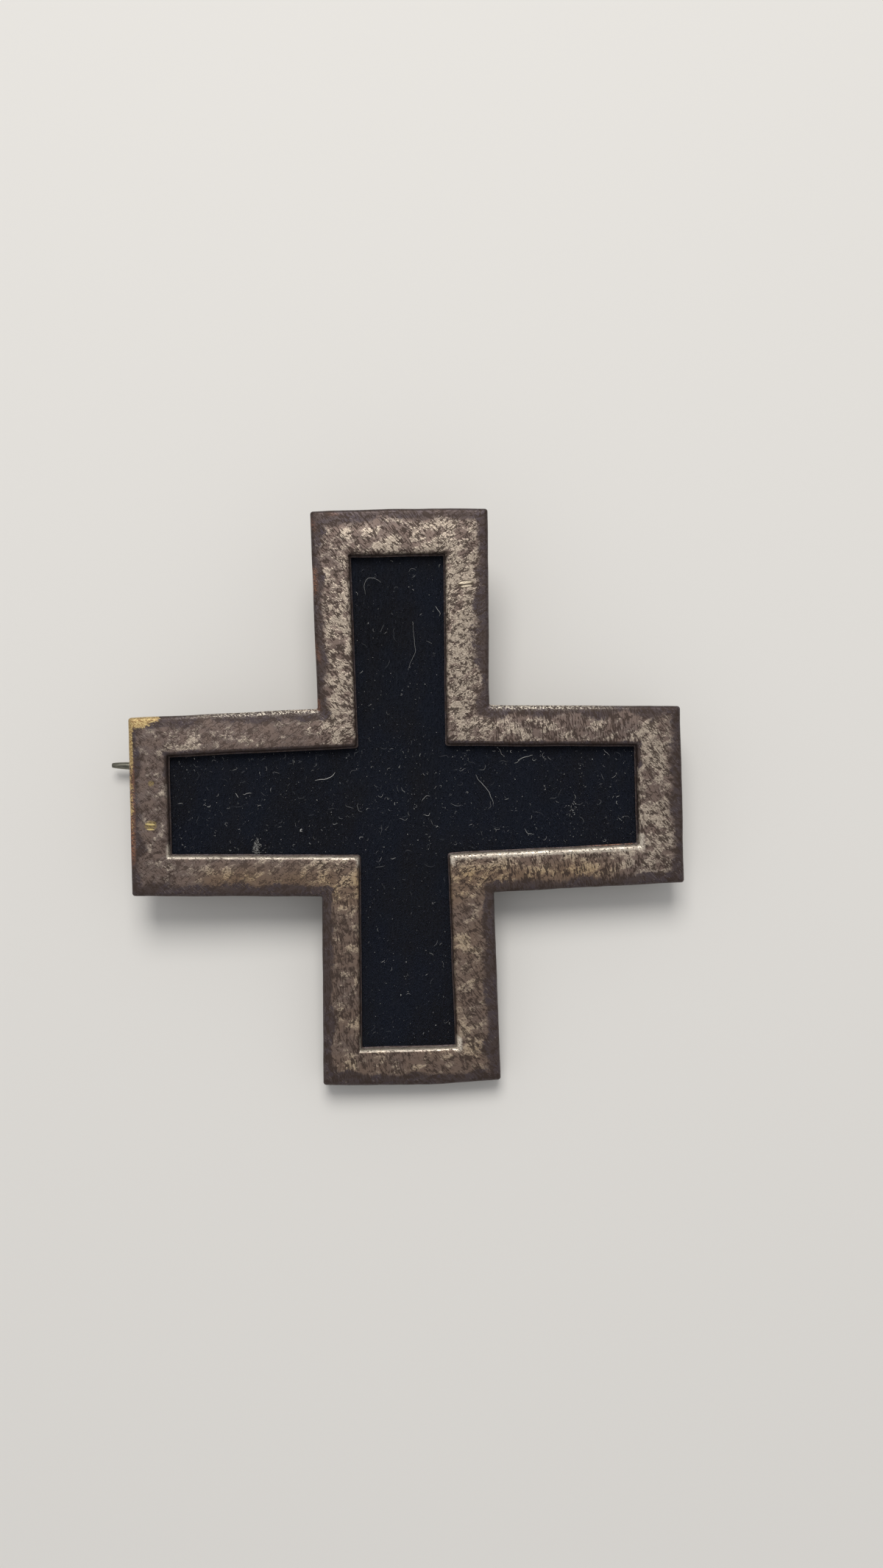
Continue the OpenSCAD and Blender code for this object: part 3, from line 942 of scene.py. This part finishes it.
# Each thread is kept as a path, a thickness and a paleness: first the strays, then five
# long ones that catch the eye.
lint = np.random.default_rng(41)
threads = []
for k in range(THREADS):
    x, y = caught(0.35, middle=4, below=0.5, above=0.33)
    length = 0.12 + lint.exponential(0.19)
    path = curl(x, y, lint.uniform(0, math.tau), min(length, 0.9), lint.normal(0, 1.2))
    threads.append((path, LINT_R * lint.uniform(0.4, 0.85), lint.random() ** 2.6))
threads.append((curl(4.95, 1.7, -1.35, 2.5, -0.8, 16), LINT_R * 1.1, 0.5))
threads.append((curl(-4.9, 2.1, -1.75, 1.6, -0.3, 12), LINT_R * 1.2, 0.9))
threads.append((curl(7.68, 2.45, 0.1, 1.45, -0.9, 12), LINT_R, 0.8))
threads.append((curl(-2.5, 14.5, 1.4, 2.2, -3.4, 16), LINT_R * 0.8, 0.4))
threads.append((curl(0.8, 12.4, -1.5, 3.4, -0.35, 20), LINT_R * 0.7, 0.35))

# The clot of fluff, a looser cluster in the right arm, and one bright speck.
for k in range(CLOT):
    x, y = -10.5 + lint.normal(0, 0.11), -2.95 + lint.normal(0, 0.3)
    path = curl(x, y, lint.uniform(0, math.tau), lint.uniform(0.08, 0.22), lint.normal(0, 2))
    threads.append((path, LINT_R * 0.7, lint.uniform(0.2, 0.9)))
for k in range(CLUSTER):
    x, y = 11.67 + lint.normal(0, 0.2), -0.95 + lint.normal(0, 0.45)
    path = curl(x, y, lint.uniform(0, math.tau), lint.uniform(0.05, 0.15), lint.normal(0, 1))
    threads.append((path, LINT_R * 0.8, lint.uniform(0.4, 1)))
for k in range(BRIGHT_SPECK):
    path = curl(-7.45, -2.0 + 0.03 * k, lint.uniform(-0.6, 0.2), 0.2, 0.3)
    threads.append((path, LINT_R * 1.3, 1))

lint_points, lint_faces, paleness = [], [], []
for path, radius, pale_share in threads:
    points, faces = thread(path, radius)
    start = sum(map(len, lint_points))
    lint_points.append(points)
    paleness += [pale_share] * len(points)
    lint_faces += [tuple(i + start for i in face) for face in faces]

# The dust: specks with four corners.
for k in range(SPECKS):
    x, y = caught(0.2, middle=4.5, below=0.5, above=0.5)
    size = 0.018 + lint.exponential(0.013)
    speck = lint.normal(0, 1, (4, 3))
    speck = speck / np.linalg.norm(speck, axis=1)[:, None] * min(size, 0.07)
    start = sum(map(len, lint_points))
    lint_points.append(speck + (x, y, PILE_TOP + 0.01))
    paleness += [lint.random() ** 2.0] * len(speck)
    for a, b, c in ((0, 1, 2), (0, 2, 3), (0, 3, 1), (1, 3, 2)):
        lint_faces.append((start + a, start + b, start + c))

fluff = Finish("pale_lint", Roughness=0.85)
fluff_tone = fluff.mixed(fluff.painted("paleness"), colour(52, 55, 62), colour(206, 204, 198))
fluff_grain = fluff.step(fluff.grain(0, 0.3, 0.3, 2, shift=7), 0.35, 0.65)
dust_grey = colour(120, 120, 120)
fluff.set("Base Color", fluff.mixed(fluff.scaled(fluff_grain, 0.4), fluff_tone, dust_grey))
lint_points = off_plate(np.concatenate(lint_points))
lint_piece = piece(
    "lint_threads", lint_points, lint_faces, fluff.material, smooth=180
)
paint(lint_piece, "paleness", np.array(paleness))

# The floor, the lights and the camera: a pale table top, soft light from a window above
# and beyond the cross, and an even light all round. The camera looks nearly straight down.

EVEN_LIGHT = 0.52
CAMERA_PLACE = (0.003566, -0.01204, 0.092309)
LOOKS_DOWN = 81.749
CAMERA_TWIST = -1.536
VIEW_ANGLE = 63.5

bpy.ops.mesh.primitive_plane_add(size=1.2, location=(0, 0, 0))
floor = bpy.context.object
floor.name = "table_top"
table_top = Finish("pale_table_top", Roughness=0.75)
table_top.set("Base Color", colour(217, 214, 209))
floor.data.materials.append(table_top.material)

world = bpy.data.worlds.new("even_light")
world.use_nodes = True
world.node_tree.nodes["Background"].inputs["Color"].default_value = (0.97, 0.98, 1.0, 1)
world.node_tree.nodes["Background"].inputs["Strength"].default_value = EVEN_LIGHT
bpy.context.scene.world = world


def soft_light(name, place, size, watts, tint):
    """A round lamp turned to face the origin."""
    light = bpy.data.lights.new(name, "AREA")
    light.shape = "DISK"
    light.size = size
    light.energy = watts
    light.color = tint
    lamp = bpy.data.objects.new(name, light)
    bpy.context.scene.collection.objects.link(lamp)
    lamp.location = place
    lamp.rotation_euler = (-Vector(place)).to_track_quat("-Z", "Y").to_euler()


soft_light(
    "window_light", place=(-0.01, 0.24, 0.38), size=0.26, watts=1.35, tint=(1.0, 0.99, 0.97)
)

camera_data = bpy.data.cameras.new("camera")
camera_data.sensor_fit = "AUTO"
camera_data.angle = math.radians(VIEW_ANGLE)
camera_data.clip_start = 0.005
camera_data.clip_end = 5
camera = bpy.data.objects.new("camera", camera_data)
bpy.context.scene.collection.objects.link(camera)
camera.matrix_world = (
    Matrix.Translation(CAMERA_PLACE)
    @ Matrix.Rotation(math.radians(90 - LOOKS_DOWN), 4, "X")
    @ Matrix.Rotation(math.radians(CAMERA_TWIST), 4, "Z")
)
bpy.context.scene.camera = camera
bpy.context.scene.view_settings.view_transform = "Standard"
